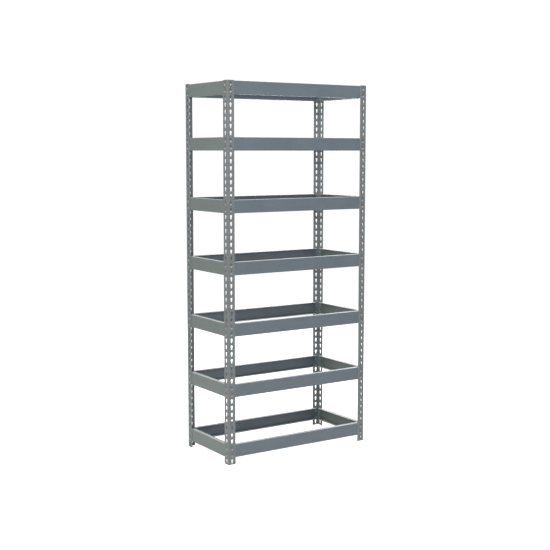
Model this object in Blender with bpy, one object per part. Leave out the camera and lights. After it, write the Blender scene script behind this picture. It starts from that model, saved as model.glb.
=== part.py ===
"""Boltless steel shelving: four slotted angle posts and seven levels of rivet-and-keyhole beams.

Metres, +Z up. Origin on the floor under the middle of the unit, front at -Y, long side along X.
"""

import math

import bmesh
import bpy
from mathutils import Matrix, Vector

# Overall size, over the outer faces of the posts
WIDTH = 0.952
DEPTH = 0.470
HEIGHT = 2.1336

# Angle posts
POST_FLANGE = 0.04445
POST_SHEET = 0.0019

# Keyholes, one row down the middle of each flange: wide above, so that a rivet head passes, and
# narrow below, where the rivet's shank comes to rest
KEYHOLE_PITCH = 0.0381
KEYHOLE_COUNT = 56
KEYHOLE_TOP_WIDTH = 0.0140
KEYHOLE_BOTTOM_WIDTH = 0.0070
KEYHOLE_ABOVE = 0.0119
KEYHOLE_BELOW = 0.0125

# Channel beams
BEAM_HEIGHT = 0.0730
BEAM_FLANGE = 0.0254
BEAM_SHEET = 0.0019
COPE_LENGTH = 0.0320
COPE_DEPTH = 0.0030
END_CLEARANCE = 0.0010

# Rivets: two at each beam end, one keyhole pitch apart
RIVET_SIDES = 6
SHANK_RADIUS = 0.0032
HEAD_RADIUS = 0.0056
HEAD_HEIGHT = 0.0022
RIVET_BELOW_BEAM_TOP = 0.0254
SEAT_GAP = 0.0003

# Levels, bottom to top: how many keyholes each one's upper rivet is below the post's top keyhole
LEVEL_STEPS = (53, 44, 35, 26, 17, 8, 0)

COLOURS = {
    "post": (0.235, 0.245, 0.250),
    "long_beam": (0.180, 0.215, 0.240),
    "short_beam": (0.205, 0.235, 0.225),
}

# The rivet centres sit this far below a keyhole's own centre
SEAT_DROP = KEYHOLE_BELOW - SHANK_RADIUS - SEAT_GAP
TOP_KEYHOLE = HEIGHT - KEYHOLE_PITCH / 2


def clear_scene():
    for item in list(bpy.data.objects):
        bpy.data.objects.remove(item, do_unlink=True)


def make_collection(name):
    collection = bpy.data.collections.new(name)
    bpy.context.scene.collection.children.link(collection)
    return collection


def painted_steel(name, colour):
    material = bpy.data.materials.new(name)
    material.use_nodes = True
    shader = material.node_tree.nodes["Principled BSDF"]
    shader.inputs["Base Color"].default_value = (*colour, 1.0)
    shader.inputs["Roughness"].default_value = 0.45
    shader.inputs["Metallic"].default_value = 0.0
    return material


def extruded_outline(name, points, length):
    """A closed solid: the outline in X and Y, centred on Z over the length."""
    curve = bpy.data.curves.new(name, "CURVE")
    curve.dimensions = "2D"
    curve.fill_mode = "BOTH"
    curve.extrude = length / 2
    spline = curve.splines.new("POLY")
    spline.points.add(len(points) - 1)
    for point, (x, y) in zip(spline.points, points):
        point.co = (x, y, 0.0, 1.0)
    spline.use_cyclic_u = True
    outline = bpy.data.objects.new(name + "_outline", curve)
    bpy.context.scene.collection.objects.link(outline)
    bpy.context.view_layer.update()
    evaluated = outline.evaluated_get(bpy.context.evaluated_depsgraph_get())
    mesh = bpy.data.meshes.new_from_object(evaluated)
    mesh.name = name
    bpy.data.objects.remove(outline, do_unlink=True)
    work = bmesh.new()
    work.from_mesh(mesh)
    bmesh.ops.remove_doubles(work, verts=work.verts, dist=0.00001)
    bmesh.ops.recalc_face_normals(work, faces=work.faces)
    work.to_mesh(mesh)
    work.free()
    return mesh


def add_object(name, mesh, collection, place, material=None):
    item = bpy.data.objects.new(name, mesh)
    collection.objects.link(item)
    item.matrix_world = place
    if material is not None:
        mesh.materials.append(material)
    return item


def add_cutter(name, mesh, collection, place):
    cutter = add_object(name, mesh, collection, place)
    cutter.hide_render = True
    cutter.display_type = "WIRE"
    return cutter


def add_boolean(item, operation, other):
    modifier = item.modifiers.new(other.name, "BOOLEAN")
    modifier.operation = operation
    modifier.solver = "EXACT"
    modifier.object = other


def post_mesh():
    """An angle with its outer corner on the Z axis and its flanges along +X and +Y."""
    flange, sheet = POST_FLANGE, POST_SHEET
    outline = [
        (0.0, 0.0),
        (flange, 0.0),
        (flange, sheet),
        (sheet, sheet),
        (sheet, flange),
        (0.0, flange),
    ]
    mesh = extruded_outline("angle_post", outline, HEIGHT)
    mesh.transform(Matrix.Translation((0.0, 0.0, HEIGHT / 2)))
    return mesh


def keyhole_cutter_mesh():
    """All the keyholes of the two flanges, as tapered blocks that pass right through the sheet."""
    work = bmesh.new()
    depth = 4 * POST_SHEET
    middle = (KEYHOLE_ABOVE - KEYHOLE_BELOW) / 2
    for side in range(2):
        for row in range(KEYHOLE_COUNT):
            made = bmesh.ops.create_cube(work, size=1.0)
            for vertex in made["verts"]:
                width = KEYHOLE_TOP_WIDTH if vertex.co.z > 0 else KEYHOLE_BOTTOM_WIDTH
                vertex.co.x *= width
                vertex.co.y *= depth
                vertex.co.z *= KEYHOLE_ABOVE + KEYHOLE_BELOW
            height = KEYHOLE_PITCH * (row + 0.5) + middle
            move = Matrix.Translation((POST_FLANGE / 2, POST_SHEET / 2, height))
            if side == 1:
                swap = Matrix(((0, 1, 0, 0), (1, 0, 0, 0), (0, 0, 1, 0), (0, 0, 0, 1)))
                move = swap @ move
            bmesh.ops.transform(work, matrix=move, verts=made["verts"])
    bmesh.ops.recalc_face_normals(work, faces=work.faces)
    mesh = bpy.data.meshes.new("keyholes")
    work.to_mesh(mesh)
    work.free()
    return mesh


def corner_place(x_side, y_side):
    """Puts the post's outer corner at one corner of the unit, its flanges turned inwards."""
    turn = {(-1, -1): 0.0, (1, -1): 90.0, (1, 1): 180.0, (-1, 1): 270.0}[(x_side, y_side)]
    corner = Vector((x_side * WIDTH / 2, y_side * DEPTH / 2, 0.0))
    return Matrix.Translation(corner) @ Matrix.Rotation(math.radians(turn), 4, "Z")


def build_posts(parts, cutters):
    material = painted_steel("painted_steel_post", COLOURS["post"])
    corners = {
        "post_front_left": (-1, -1),
        "post_front_right": (1, -1),
        "post_rear_right": (1, 1),
        "post_rear_left": (-1, 1),
    }
    for name, (x_side, y_side) in corners.items():
        place = corner_place(x_side, y_side)
        post = add_object(name, post_mesh(), parts, place, material)
        cutter = add_cutter(name + "_keyholes", keyhole_cutter_mesh(), cutters, place)
        add_boolean(post, "DIFFERENCE", cutter)


def channel_mesh(web_length):
    """A channel along X, its web's outer face on Y = 0 and its flanges along +Y, top at Z = 0."""
    outer, inner = BEAM_FLANGE, BEAM_SHEET
    outline = [
        (0.0, 0.0),
        (outer, 0.0),
        (outer, inner),
        (inner, inner),
        (inner, BEAM_HEIGHT - inner),
        (outer, BEAM_HEIGHT - inner),
        (outer, BEAM_HEIGHT),
        (0.0, BEAM_HEIGHT),
    ]
    mesh = extruded_outline("channel", outline, web_length)
    lie_down = Matrix(((0, 0, 1, 0), (1, 0, 0, 0), (0, 1, 0, -BEAM_HEIGHT), (0, 0, 0, 1)))
    mesh.transform(lie_down)
    return mesh


def cope_cutter_mesh(half_web, half_span):
    """Four blocks that cut the flanges back at the ends, so that a flat tab is left to rivet."""
    work = bmesh.new()
    length = half_web - (half_span - COPE_LENGTH) + 0.010
    centre = half_span - COPE_LENGTH + length / 2
    margin = 0.005
    size = (length, BEAM_FLANGE + 2 * margin, COPE_DEPTH + margin)
    for end in (-1, 1):
        for height in (-COPE_DEPTH / 2 + margin / 2, COPE_DEPTH / 2 - margin / 2 - BEAM_HEIGHT):
            place = Matrix.Translation((end * centre, BEAM_FLANGE / 2, height))
            scale = Matrix.Diagonal((*size, 1.0))
            bmesh.ops.create_cube(work, size=1.0, matrix=place @ scale)
    bmesh.ops.recalc_face_normals(work, faces=work.faces)
    mesh = bpy.data.meshes.new("copes")
    work.to_mesh(mesh)
    work.free()
    return mesh


def add_rivet(work, x, z):
    """A shank that starts inside the web, and a flat head outside the post, towards -Y."""
    inside = BEAM_SHEET / 2
    reach = inside + SEAT_GAP + POST_SHEET + SEAT_GAP
    made = bmesh.ops.create_cone(
        work,
        cap_ends=True,
        segments=RIVET_SIDES,
        radius1=SHANK_RADIUS,
        radius2=SHANK_RADIUS,
        depth=reach,
    )
    faces = {face for vertex in made["verts"] for face in vertex.link_faces}
    end = max(faces, key=lambda face: face.calc_center_median().z)
    vertices = set(made["verts"])
    for rise in (0.0, HEAD_HEIGHT):
        grown = bmesh.ops.extrude_discrete_faces(work, faces=[end])
        end = grown["faces"][0]
        for vertex in end.verts:
            vertices.add(vertex)
            flat = vertex.co.xy.normalized() * HEAD_RADIUS
            vertex.co = (flat.x, flat.y, vertex.co.z + rise)
    half_turn = Matrix.Rotation(math.pi / RIVET_SIDES, 4, "Z")
    face_out = Matrix.Rotation(math.pi / 2, 4, "X")
    move = Matrix.Translation((x, inside - reach / 2, z))
    bmesh.ops.transform(work, matrix=move @ face_out @ half_turn, verts=list(vertices))


def rivets_mesh(rivet_x):
    work = bmesh.new()
    for end in (-1, 1):
        for row in range(2):
            add_rivet(work, end * rivet_x, -RIVET_BELOW_BEAM_TOP - row * KEYHOLE_PITCH)
    bmesh.ops.recalc_face_normals(work, faces=work.faces)
    mesh = bpy.data.meshes.new("rivets")
    work.to_mesh(mesh)
    work.free()
    return mesh


def beam_top(steps):
    return TOP_KEYHOLE - steps * KEYHOLE_PITCH - SEAT_DROP + RIVET_BELOW_BEAM_TOP


def build_beams(parts, cutters):
    """Four beams a level. The short ones stop behind the webs of the long ones."""
    long_colour = painted_steel("painted_steel_long_beam", COLOURS["long_beam"])
    short_colour = painted_steel("painted_steel_short_beam", COLOURS["short_beam"])
    inset = POST_SHEET + SEAT_GAP
    long_web = WIDTH / 2 - POST_SHEET - END_CLEARANCE
    short_web = DEPTH / 2 - inset - BEAM_SHEET - END_CLEARANCE
    sides = {
        "front": (0.0, WIDTH / 2, long_web, DEPTH / 2, long_colour),
        "right": (90.0, DEPTH / 2, short_web, WIDTH / 2, short_colour),
        "rear": (180.0, WIDTH / 2, long_web, DEPTH / 2, long_colour),
        "left": (270.0, DEPTH / 2, short_web, WIDTH / 2, short_colour),
    }
    for level, steps in enumerate(LEVEL_STEPS, start=1):
        for side, (turn, half_span, half_web, out, material) in sides.items():
            name = f"beam_{side}_{level}"
            spin = Matrix.Rotation(math.radians(turn), 4, "Z")
            place = spin @ Matrix.Translation((0.0, inset - out, beam_top(steps)))
            beam = add_object(name, channel_mesh(2 * half_web), parts, place, material)
            copes = cope_cutter_mesh(half_web, half_span)
            add_boolean(beam, "DIFFERENCE", add_cutter(name + "_copes", copes, cutters, place))
            rivets = rivets_mesh(half_span - POST_FLANGE / 2)
            add_boolean(beam, "UNION", add_cutter(name + "_rivets", rivets, cutters, place))


clear_scene()
shelving = make_collection("boltless_shelving")
cutting = make_collection("cutters")
build_posts(shelving, cutting)
build_beams(shelving, cutting)
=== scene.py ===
import math

import bmesh
import bpy
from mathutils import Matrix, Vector


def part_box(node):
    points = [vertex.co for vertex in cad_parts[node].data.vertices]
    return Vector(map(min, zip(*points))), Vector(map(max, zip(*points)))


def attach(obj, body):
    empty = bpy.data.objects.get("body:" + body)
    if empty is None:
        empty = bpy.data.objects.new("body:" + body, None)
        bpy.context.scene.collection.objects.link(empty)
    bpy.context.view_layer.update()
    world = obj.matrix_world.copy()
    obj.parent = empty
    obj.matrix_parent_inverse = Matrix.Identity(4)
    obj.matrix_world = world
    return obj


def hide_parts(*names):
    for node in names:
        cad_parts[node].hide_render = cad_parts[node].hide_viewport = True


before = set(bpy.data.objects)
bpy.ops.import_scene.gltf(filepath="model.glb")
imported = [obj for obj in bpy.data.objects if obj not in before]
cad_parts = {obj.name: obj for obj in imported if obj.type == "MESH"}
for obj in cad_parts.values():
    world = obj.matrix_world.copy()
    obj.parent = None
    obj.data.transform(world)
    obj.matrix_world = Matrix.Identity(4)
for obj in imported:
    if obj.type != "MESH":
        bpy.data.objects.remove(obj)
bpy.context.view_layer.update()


# Angle posts. Each is one length of 14 gauge strip, roll-formed into an angle with a tight bend and
# punched with a keyhole every 38.1 mm down both flanges. Its ends are plain cuts. A keyhole is wide
# above, to let a rivet's head through, and tapers to a round seat that holds the rivet's shank.

SHEET = 0.0019
BEND_RADIUS = 0.0026
BURR_RADIUS = 0.00025
KEYHOLE_PITCH = 0.0381
KEYHOLE_MOUTH_RADIUS = 0.00635
KEYHOLE_SEAT_RADIUS = 0.0035
KEYHOLE_MOUTH_UP = 0.0055
KEYHOLE_SEAT_DROP = 0.0145
HAIR = 0.0001            # less than any feature, for telling edges and corners apart by their place
WELD = 0.00001           # corners closer than this are one corner


def pick(kind, test):
    """In edit mode, selects just the vertices, edges or faces whose middle passes the test."""
    bpy.ops.mesh.select_mode(type=kind)
    bpy.ops.mesh.select_all(action="DESELECT")
    work = bmesh.from_edit_mesh(bpy.context.edit_object.data)
    if kind == "VERT":
        for vertex in work.verts:
            vertex.select_set(test(vertex.co))
    else:
        for element in work.edges if kind == "EDGE" else work.faces:
            corners = [vertex.co for vertex in element.verts]
            element.select_set(test(sum(corners, Vector()) / len(corners)))
    bmesh.update_edit_mesh(bpy.context.edit_object.data)


def select_only(*items):
    bpy.ops.object.select_all(action="DESELECT")
    for item in items:
        item.select_set(True)
    bpy.context.view_layer.objects.active = items[0]


def bake_place(item):
    """Moves the object's place, turn and size into its mesh."""
    select_only(item)
    bpy.ops.object.transform_apply(location=True, rotation=True, scale=True)


def apply_modifier(item, kind, **settings):
    select_only(item)
    modifier = item.modifiers.new(kind.title(), kind)
    for key, value in settings.items():
        setattr(modifier, key, value)
    bpy.ops.object.modifier_apply(modifier=modifier.name)


def copy_piece(item, name, place, quarter_turns):
    """A copy with its own mesh, turned about Z and moved, with its place in its mesh."""
    twin = item.copy()
    twin.data = item.data.copy()
    twin.name = name
    twin.data.name = name
    bpy.context.collection.objects.link(twin)
    twin.location = place
    twin.rotation_euler = (0.0, 0.0, quarter_turns * math.pi / 2)
    bake_place(twin)
    return twin


def sheet_metal(item):
    """Gives an outer skin its sheet thickness, inwards, and breaks the cut edges, which it marks."""
    # Two empty material slots, the second of which the bevel gives to the faces that it makes
    for _ in range(2):
        item.data.materials.append(None)
    apply_modifier(item, "SOLIDIFY", thickness=SHEET, offset=-1.0, use_even_offset=True)
    apply_modifier(item, "BEVEL", width=BURR_RADIUS, segments=1, limit_method="ANGLE",
                   angle_limit=math.radians(40), material=1)
    thin_coat_and_highlight = item.data.attributes.new("thin_coat_and_highlight", "FLOAT", "FACE")
    for face, mark in zip(item.data.polygons, thin_coat_and_highlight.data):
        mark.value = face.material_index
        face.material_index = 0
    item.data.materials.clear()
    select_only(item)
    bpy.ops.object.shade_smooth_by_angle(angle=math.radians(30))


def linear(colour):
    """An sRGB hex colour as linear red, green, blue and alpha."""
    parts = [int(colour[i:i + 2], 16) / 255 for i in (1, 3, 5)]
    return tuple(c / 12.92 if c <= 0.04045 else ((c + 0.055) / 1.055) ** 2.4 for c in parts) + (1.0,)


def add_node(material, kind, settings, links):
    """A node with its own settings, input values and links. Inputs are given by name or number."""
    node = material.node_tree.nodes.new(kind)
    for key, value in settings.items():
        if isinstance(key, str) and hasattr(node, key):
            setattr(node, key, value)
        else:
            node.inputs[key].default_value = value
    for key, output in links.items():
        material.node_tree.links.new(output, node.inputs[key])
    return node


# How many of each pattern's features there are in a metre of enamel
DRIFTS_PER_METRE = 7.0
FLECKS_PER_METRE = 330.0
DUST_AND_HIGHLIGHT_PATCHES_PER_METRE = 60.0
PEEL_WAVES_PER_METRE = 400.0


def baked_enamel(name, colour, pale_colour, roughness):
    """Satin enamel baked on steel strip: an even film with a faint orange peel, a coat that is a little
    paler and duller in places, thin and paler over broken edges, which also paints a highlight along
    them, and with dust lying on what faces up, which also paints a highlight on those faces."""
    material = bpy.data.materials.new(name)
    material.use_nodes = True
    material.node_tree.nodes.clear()
    place = add_node(material, "ShaderNodeTexCoord", {}, {}).outputs["Object"]
    # Coat thickness drifts over about 150 mm, and pigment settles in flecks of about 3 mm
    drift = add_node(material, "ShaderNodeTexNoise",
                     {"Scale": DRIFTS_PER_METRE, "Detail": 3.0, "Roughness": 0.55},
                     {"Vector": place}).outputs["Fac"]
    flecks = add_node(material, "ShaderNodeTexNoise", {"Scale": FLECKS_PER_METRE, "Detail": 2.0},
                      {"Vector": place}).outputs["Fac"]
    mottle = add_node(material, "ShaderNodeMath", {"operation": "MULTIPLY_ADD", 1: 0.25},
                      {0: flecks, 2: drift}).outputs[0]
    shade = add_node(material, "ShaderNodeMapRange",
                     {"From Min": 0.35, "From Max": 0.9, "To Min": 0.0, "To Max": 0.35},
                     {"Value": mottle}).outputs["Result"]
    coat = add_node(material, "ShaderNodeMix",
                    {"data_type": "RGBA", 6: linear(colour), 7: linear(pale_colour)},
                    {0: shade}).outputs[2]
    # Dust lies on faces that look up, in patches of about 17 mm, and also paints a highlight on them
    facing = add_node(material, "ShaderNodeNewGeometry", {}, {}).outputs["Normal"]
    upward = add_node(material, "ShaderNodeSeparateXYZ", {}, {"Vector": facing}).outputs["Z"]
    upward_dust_and_highlight = add_node(material, "ShaderNodeMapRange",
                       {"From Min": 0.85, "From Max": 1.0, "To Min": 0.0, "To Max": 0.5},
                       {"Value": upward}).outputs["Result"]
    patchy = add_node(material, "ShaderNodeTexNoise", {"Scale": DUST_AND_HIGHLIGHT_PATCHES_PER_METRE, "Detail": 4.0},
                      {"Vector": place}).outputs["Fac"]
    dust_and_highlight = add_node(material, "ShaderNodeMath", {"operation": "MULTIPLY"},
                    {0: upward_dust_and_highlight, 1: patchy}).outputs[0]
    dusty_and_highlit = add_node(material, "ShaderNodeMix", {"data_type": "RGBA", 7: linear("#c6c9c8")},
                     {0: dust_and_highlight, 6: coat}).outputs[2]
    # The film draws back from a cut edge in the oven, and the steel shows through it, paler; this also
    # paints a highlight along the cut edges
    edge = add_node(material, "ShaderNodeAttribute", {"attribute_name": "thin_coat_and_highlight"}, {}).outputs["Fac"]
    bare_steel_and_highlight = add_node(material, "ShaderNodeMath", {"operation": "MULTIPLY", 1: 0.5}, {0: edge}).outputs[0]
    surface = add_node(material, "ShaderNodeMix", {"data_type": "RGBA", 7: linear("#a8adb0")},
                       {0: bare_steel_and_highlight, 6: dusty_and_highlit}).outputs[2]
    gloss = add_node(material, "ShaderNodeMapRange",
                     {"From Min": 0.3, "From Max": 0.95, "To Min": roughness - 0.05,
                      "To Max": roughness + 0.08}, {"Value": mottle}).outputs["Result"]
    dulled = add_node(material, "ShaderNodeMath", {"operation": "MULTIPLY_ADD", 1: 0.5},
                      {0: dust_and_highlight, 2: gloss}).outputs[0]
    # Orange peel: waves about 2.5 mm across and a few hundredths of a millimetre high
    waves = add_node(material, "ShaderNodeTexNoise", {"Scale": PEEL_WAVES_PER_METRE, "Detail": 1.0},
                     {"Vector": place}).outputs["Fac"]
    peel = add_node(material, "ShaderNodeBump", {"Strength": 0.35, "Distance": 0.00006},
                    {"Height": waves}).outputs["Normal"]
    finish = add_node(material, "ShaderNodeBsdfPrincipled", {"IOR": 1.5, "Coat Weight": 0.0},
                      {"Base Color": surface, "Roughness": dulled, "Normal": peel})
    add_node(material, "ShaderNodeOutputMaterial", {}, {"Surface": finish.outputs["BSDF"]})
    return material


# One pitch of a flange, flat in the XZ plane. The keyhole starts as a circle, the mouth, whose lower
# half is drawn down and narrowed into the seat.
post_low, post_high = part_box("post_front_left")
flange = post_high.x - post_low.x
keyhole_x = flange / 2
mouth = (keyhole_x, 0.0, KEYHOLE_PITCH / 2 + KEYHOLE_MOUTH_UP)
bpy.ops.object.select_all(action="DESELECT")
bpy.ops.mesh.primitive_circle_add(vertices=16, radius=KEYHOLE_MOUTH_RADIUS, fill_type="NOTHING",
                                  location=mouth, rotation=(math.pi / 2, 0.0, 0.0))
post = bpy.context.object
bake_place(post)
bpy.ops.object.mode_set(mode="EDIT")
pick("VERT", lambda co: co.z < mouth[2] - HAIR)
narrowing = KEYHOLE_SEAT_RADIUS / KEYHOLE_MOUTH_RADIUS
bpy.ops.transform.resize(value=(narrowing, 1.0, narrowing), center_override=mouth)
bpy.ops.transform.translate(value=(0.0, 0.0, -KEYHOLE_SEAT_DROP))
bpy.ops.mesh.select_all(action="DESELECT")
flat_middle = ((BEND_RADIUS + flange) / 2, 0.0, KEYHOLE_PITCH / 2)
bpy.ops.mesh.primitive_plane_add(size=1.0, location=flat_middle, rotation=(math.pi / 2, 0.0, 0.0))
bpy.ops.transform.resize(value=(flange - BEND_RADIUS, 1.0, KEYHOLE_PITCH),
                         center_override=flat_middle)
bpy.ops.mesh.delete(type="ONLY_FACE")
bpy.ops.mesh.select_all(action="SELECT")
bpy.ops.mesh.fill(use_beauty=True)
bpy.ops.object.mode_set(mode="OBJECT")

# The second flange, and the bend, which is spun from the first flange's edge to meet it
second = copy_piece(post, "second_flange", (0.0, 0.0, 0.0), 1)
select_only(post, second)
bpy.ops.object.join()
bpy.ops.object.mode_set(mode="EDIT")
pick("EDGE", lambda co: abs(co.x - BEND_RADIUS) < WELD and abs(co.y) < WELD)
bpy.ops.mesh.spin(steps=4, angle=math.pi / 2, center=(BEND_RADIUS, BEND_RADIUS, 0.0),
                  axis=(0.0, 0.0, 1.0))
bpy.ops.mesh.select_all(action="SELECT")
bpy.ops.mesh.remove_doubles(threshold=WELD)
bpy.ops.mesh.normals_make_consistent(inside=False)
bpy.ops.object.mode_set(mode="OBJECT")
apply_modifier(post, "ARRAY", count=round((post_high.z - post_low.z) / KEYHOLE_PITCH),
               use_relative_offset=False, use_constant_offset=True,
               constant_offset_displace=(0.0, 0.0, KEYHOLE_PITCH), use_merge_vertices=True,
               merge_threshold=WELD)
sheet_metal(post)

post_enamel = baked_enamel("baked_enamel_on_slotted_angle", "#696d6f", "#777b7c", 0.4)
for end, side in (("front", "left"), ("front", "right"), ("rear", "right"), ("rear", "left")):
    node = f"post_{end}_{side}"
    low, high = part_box(node)
    corner = (low.x if side == "left" else high.x, low.y if end == "front" else high.y, low.z)
    turns = ("front_left", "front_right", "rear_right", "rear_left").index(f"{end}_{side}")
    piece = copy_piece(post, f"slotted_angle_{end}_{side}", corner, turns)
    piece.data.materials.append(post_enamel)
    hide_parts(node)
    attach(piece, "frame_posts")
bpy.data.objects.remove(post)


# Channel beams, long ones at the front and rear and short ones at the ends. Each is 14 gauge strip
# roll-formed into a channel with both flanges turned in. The flanges are coped back at both ends, so
# that the bare web slips in behind the posts.

BEAM_FLANGE = 0.0254
BEAM_BEND_RADIUS = 0.0022
COPE_TO_POST_CORNER = 0.032
COPE_DEPTH = 0.003
HEAD_TO_WEB = 0.0047     # from the outermost point of a rivet's head in to the web's outer face
QUARTER_TURNS = {"front": 0, "right": 1, "rear": 2, "left": 3}


def channel_beam(web_length, flange_length, height):
    """A channel beam along X: its web's outer face lies in Y = 0 and faces -Y, and its top is Z = 0."""
    middle = (0.0, 0.0, -height / 2)
    bpy.ops.object.select_all(action="DESELECT")
    bpy.ops.mesh.primitive_plane_add(size=1.0, location=middle, rotation=(math.pi / 2, 0.0, 0.0))
    beam = bpy.context.object
    bake_place(beam)
    bpy.ops.object.mode_set(mode="EDIT")
    bpy.ops.mesh.select_all(action="SELECT")
    bpy.ops.transform.resize(value=(web_length, 1.0, height), center_override=middle)
    for x in (-flange_length / 2, flange_length / 2):
        bpy.ops.mesh.select_all(action="SELECT")
        bpy.ops.mesh.bisect(plane_co=(x, 0.0, 0.0), plane_no=(1.0, 0.0, 0.0))
    for z in (-COPE_DEPTH, COPE_DEPTH - height):
        bpy.ops.mesh.select_all(action="SELECT")
        bpy.ops.mesh.bisect(plane_co=(0.0, 0.0, z), plane_no=(0.0, 0.0, 1.0))
    pick("FACE", lambda co: abs(co.x) > flange_length / 2
         and abs(co.z + height / 2) > height / 2 - COPE_DEPTH)
    bpy.ops.mesh.delete(type="FACE")
    pick("EDGE", lambda co: abs(co.z + height / 2) > height / 2 - HAIR)
    bpy.ops.mesh.extrude_edges_move(TRANSFORM_OT_translate={"value": (0.0, BEAM_FLANGE, 0.0)})
    pick("EDGE", lambda co: co.y < HAIR and abs(co.z + height / 2) > height / 2 - HAIR)
    bpy.ops.mesh.bevel(offset=BEAM_BEND_RADIUS, offset_type="OFFSET", segments=4, profile=0.5)
    bpy.ops.mesh.select_all(action="SELECT")
    bpy.ops.mesh.remove_doubles(threshold=WELD)
    bpy.ops.mesh.normals_make_consistent(inside=False)
    bpy.ops.object.mode_set(mode="OBJECT")
    sheet_metal(beam)
    return beam


def outward(quarter_turns):
    """The direction that a side of the unit faces: -Y for the front, then +X, +Y and -X."""
    angle = quarter_turns * math.pi / 2
    return Vector((round(math.sin(angle)), -round(math.cos(angle)), 0.0))


def copies_on_beams(long_item, short_item, name):
    """Copies the long or the short item to each beam, and gives each copy with its node and slot."""
    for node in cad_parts:
        if not node.startswith("beam_"):
            continue
        side, level = node.split("_")[1:]
        facing = outward(QUARTER_TURNS[side])
        low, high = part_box(node)
        reach = max(facing.dot(low), facing.dot(high))
        place = facing * (reach - HEAD_TO_WEB) + Vector((0.0, 0.0, high.z))
        item, slot = (long_item, "long_beam") if side in ("front", "rear") else (short_item, "short_beam")
        yield copy_piece(item, f"{name}_{side}_{level}", place, QUARTER_TURNS[side]), node, slot


long_low, long_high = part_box("beam_front_1")
short_low, short_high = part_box("beam_right_1")
beam_height = long_high.z - long_low.z
long_beam = channel_beam(long_high.x - long_low.x, -2 * (post_low.x + COPE_TO_POST_CORNER), beam_height)
short_beam = channel_beam(short_high.y - short_low.y, -2 * (post_low.y + COPE_TO_POST_CORNER),
                          beam_height)
# One paint on all beams: the long ones are painted bluer and the short ones greener and lighter, as
# painted light falling differently on the front and the sides
long_enamel_painted_light = baked_enamel("baked_enamel_on_long_channel", "#5b656c", "#6b747c", 0.4)
short_enamel_painted_light = baked_enamel("baked_enamel_on_short_channel", "#656e6b", "#757e7c", 0.4)
for piece, node, slot in copies_on_beams(long_beam, short_beam, "channel"):
    piece.data.materials.append(long_enamel_painted_light if slot == "long_beam" else short_enamel_painted_light)
    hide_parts(node)
    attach(piece, node)
bpy.data.objects.remove(long_beam)
bpy.data.objects.remove(short_beam)


# Rivets, four to a beam and two to an end, one keyhole pitch apart. Each is a low domed steel rivet
# whose shank is staked through the web, so that it stays on the beam. The dome stands just clear of
# the post's face, and the shank drops into the keyhole's seat.

RIVET_HEAD_RADIUS = 0.0056
RIVET_SHANK_RADIUS = 0.0032
RIVET_STAKE_RADIUS = 0.0042
RIVET_BELOW_TOP = 0.0254
HEAD_UNDERSIDE = 0.0025
HEAD_RIM = 0.0032
# Rings from the staked end inside the beam to the dome: distance out from the web's face, and radius
RIVET_RINGS = ((-0.0025, 0.0036), (-SHEET, RIVET_STAKE_RADIUS), (-SHEET, RIVET_SHANK_RADIUS),
               (HEAD_UNDERSIDE, RIVET_SHANK_RADIUS), (HEAD_UNDERSIDE, RIVET_HEAD_RADIUS),
               (HEAD_RIM, RIVET_HEAD_RADIUS), (0.0042, 0.0042), (HEAD_TO_WEB, 0.0019))


def rivet_row(half_span):
    """The four rivets of a beam that channel_beam makes, as one mesh."""
    made = []
    for end in (-1, 1):
        for row in range(2):
            centre = Vector((end * half_span, 0.0, -RIVET_BELOW_TOP - row * KEYHOLE_PITCH))
            bpy.ops.object.select_all(action="DESELECT")
            first_out, first_radius = RIVET_RINGS[0]
            bpy.ops.mesh.primitive_circle_add(vertices=12, radius=first_radius, fill_type="NGON",
                                              location=centre - Vector((0.0, first_out, 0.0)),
                                              rotation=(math.pi / 2, 0.0, 0.0))
            rivet = bpy.context.object
            bake_place(rivet)
            bpy.ops.object.mode_set(mode="EDIT")
            bpy.ops.mesh.select_all(action="SELECT")
            for (out, radius), (next_out, next_radius) in zip(RIVET_RINGS, RIVET_RINGS[1:]):
                bpy.ops.mesh.extrude_region_move(
                    TRANSFORM_OT_translate={"value": (0.0, out - next_out, 0.0)})
                growth = next_radius / radius
                bpy.ops.transform.resize(value=(growth, 1.0, growth),
                                         center_override=centre - Vector((0.0, next_out, 0.0)))
            bpy.ops.mesh.select_all(action="SELECT")
            bpy.ops.mesh.normals_make_consistent(inside=False)
            bpy.ops.object.mode_set(mode="OBJECT")
            made.append(rivet)
    select_only(*made)
    bpy.ops.object.join()
    bpy.ops.object.shade_smooth_by_angle(angle=math.radians(40))
    return bpy.context.object


# The keyholes are keyhole_x in from the posts' outer corners
long_rivets = rivet_row(-post_low.x - keyhole_x)
short_rivets = rivet_row(-post_low.y - keyhole_x)
# The rivets' enamel is paler than the beams': a painted highlight on the domes
rivet_enamel_painted_highlight = baked_enamel("baked_enamel_on_rivets_painted_highlight", "#8a9092", "#a6abac", 0.32)
for piece, node, slot in copies_on_beams(long_rivets, short_rivets, "rivets"):
    piece.data.materials.append(rivet_enamel_painted_highlight)
    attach(piece, node)
bpy.data.objects.remove(long_rivets)
bpy.data.objects.remove(short_rivets)


# Floor and studio light. A wide matt white floor thins out into white surroundings, so that it has no
# edge to be seen from any side. Both glow for the camera alone, as a lit backdrop does, and the
# shelving is lit by dimmer white surroundings and by three softboxes.

FLOOR_RADIUS = 14.0
FLOOR_BELOW_FEET = 0.0002
FADE_START = 1.2
FADE_END = 9.0
FLOOR_GLOW = 0.7
BACKDROP_GLOW = 1.05
AMBIENT = 0.6

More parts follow.
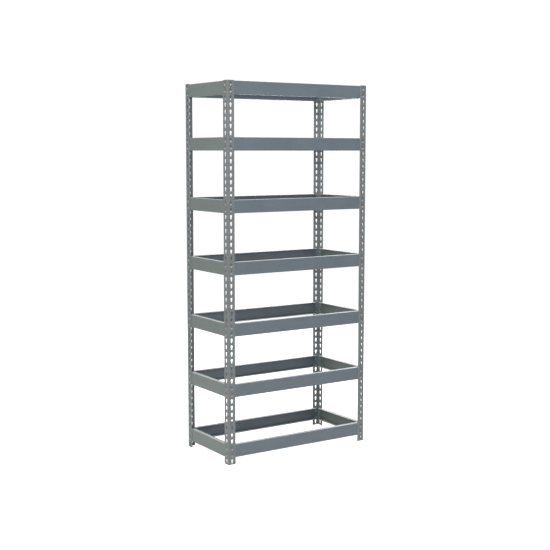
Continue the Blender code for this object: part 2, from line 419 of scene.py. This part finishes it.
bpy.ops.object.select_all(action="DESELECT")
bpy.ops.mesh.primitive_circle_add(vertices=96, radius=FLOOR_RADIUS, fill_type="NGON",
                                  location=(0.0, 0.0, -FLOOR_BELOW_FEET))
floor = bpy.context.object
floor.name = "studio_floor"
bake_place(floor)
floor_paint = bpy.data.materials.new("matt_white_studio_floor")
floor_paint.use_nodes = True
floor_paint.node_tree.nodes.clear()
place = add_node(floor_paint, "ShaderNodeTexCoord", {}, {}).outputs["Object"]
distance = add_node(floor_paint, "ShaderNodeVectorMath", {"operation": "LENGTH"},
                    {0: place}).outputs["Value"]
fade = add_node(floor_paint, "ShaderNodeMapRange",
                {"interpolation_type": "SMOOTHSTEP", "From Min": FADE_START, "From Max": FADE_END},
                {"Value": distance}).outputs["Result"]
seen = add_node(floor_paint, "ShaderNodeLightPath", {}, {}).outputs["Is Camera Ray"]
glow = add_node(floor_paint, "ShaderNodeMath", {"operation": "MULTIPLY", 1: FLOOR_GLOW},
                {0: seen}).outputs[0]
matt = add_node(floor_paint, "ShaderNodeBsdfPrincipled",
                {"Base Color": linear("#cfcfce"), "Roughness": 0.8, "Emission Color": linear("#ffffff")},
                {"Emission Strength": glow}).outputs["BSDF"]
clear = add_node(floor_paint, "ShaderNodeBsdfTransparent", {}, {}).outputs["BSDF"]
blended = add_node(floor_paint, "ShaderNodeMixShader", {}, {0: fade, 1: matt, 2: clear})
add_node(floor_paint, "ShaderNodeOutputMaterial", {}, {"Surface": blended.outputs["Shader"]})
floor.data.materials.append(floor_paint)

surroundings = bpy.data.worlds.new("white_surroundings")
surroundings.use_nodes = True
surroundings.node_tree.nodes.clear()
seen = add_node(surroundings, "ShaderNodeLightPath", {}, {}).outputs["Is Camera Ray"]
strength = add_node(surroundings, "ShaderNodeMapRange", {"To Min": AMBIENT, "To Max": BACKDROP_GLOW},
                    {"Value": seen}).outputs["Result"]
sky = add_node(surroundings, "ShaderNodeBackground", {"Color": linear("#ffffff")},
               {"Strength": strength}).outputs["Background"]
add_node(surroundings, "ShaderNodeOutputWorld", {}, {"Surface": sky})
bpy.context.scene.world = surroundings


def softbox(name, place, target, size, power):
    bpy.ops.object.light_add(type="AREA", location=place)
    light = bpy.context.object
    light.name = name
    light.rotation_euler = (Vector(target) - Vector(place)).to_track_quat("-Z", "Y").to_euler()
    light.data.size = size
    light.data.energy = power


softbox("key_softbox", place=(-3.1, -2.4, 2.2), target=(0.0, 0.0, 1.2), size=1.8, power=46.0)
softbox("top_softbox", place=(-0.8, -0.9, 6.0), target=(0.0, 0.0, 1.0), size=1.2, power=430.0)
softbox("fill_softbox", place=(2.8, 3.2, 1.8), target=(0.0, 0.0, 1.0), size=2.0, power=70.0)
# No film curve, so that the enamel and the white surroundings keep their own brightness
bpy.context.scene.view_settings.view_transform = "Standard"


# Camera. It stands to the left of the unit's front and a little over six metres from its middle, at
# the height of a tall person's eyes, and looks slightly down.

CAMERA_PLACE = (-3.4362, -5.2111, 1.7456)
CAMERA_YAW = math.radians(33.308)
CAMERA_PITCH = math.radians(6.036)
CAMERA_LENS = 69.38
CAMERA_SENSOR = 36.0
CAMERA_SHIFT = -0.02

bpy.ops.object.camera_add(location=CAMERA_PLACE,
                          rotation=(math.pi / 2 - CAMERA_PITCH, 0.0, -CAMERA_YAW))
camera = bpy.context.object
camera.name = "camera"
camera.data.lens = CAMERA_LENS
camera.data.sensor_width = CAMERA_SENSOR
camera.data.shift_y = CAMERA_SHIFT
bpy.context.scene.camera = camera
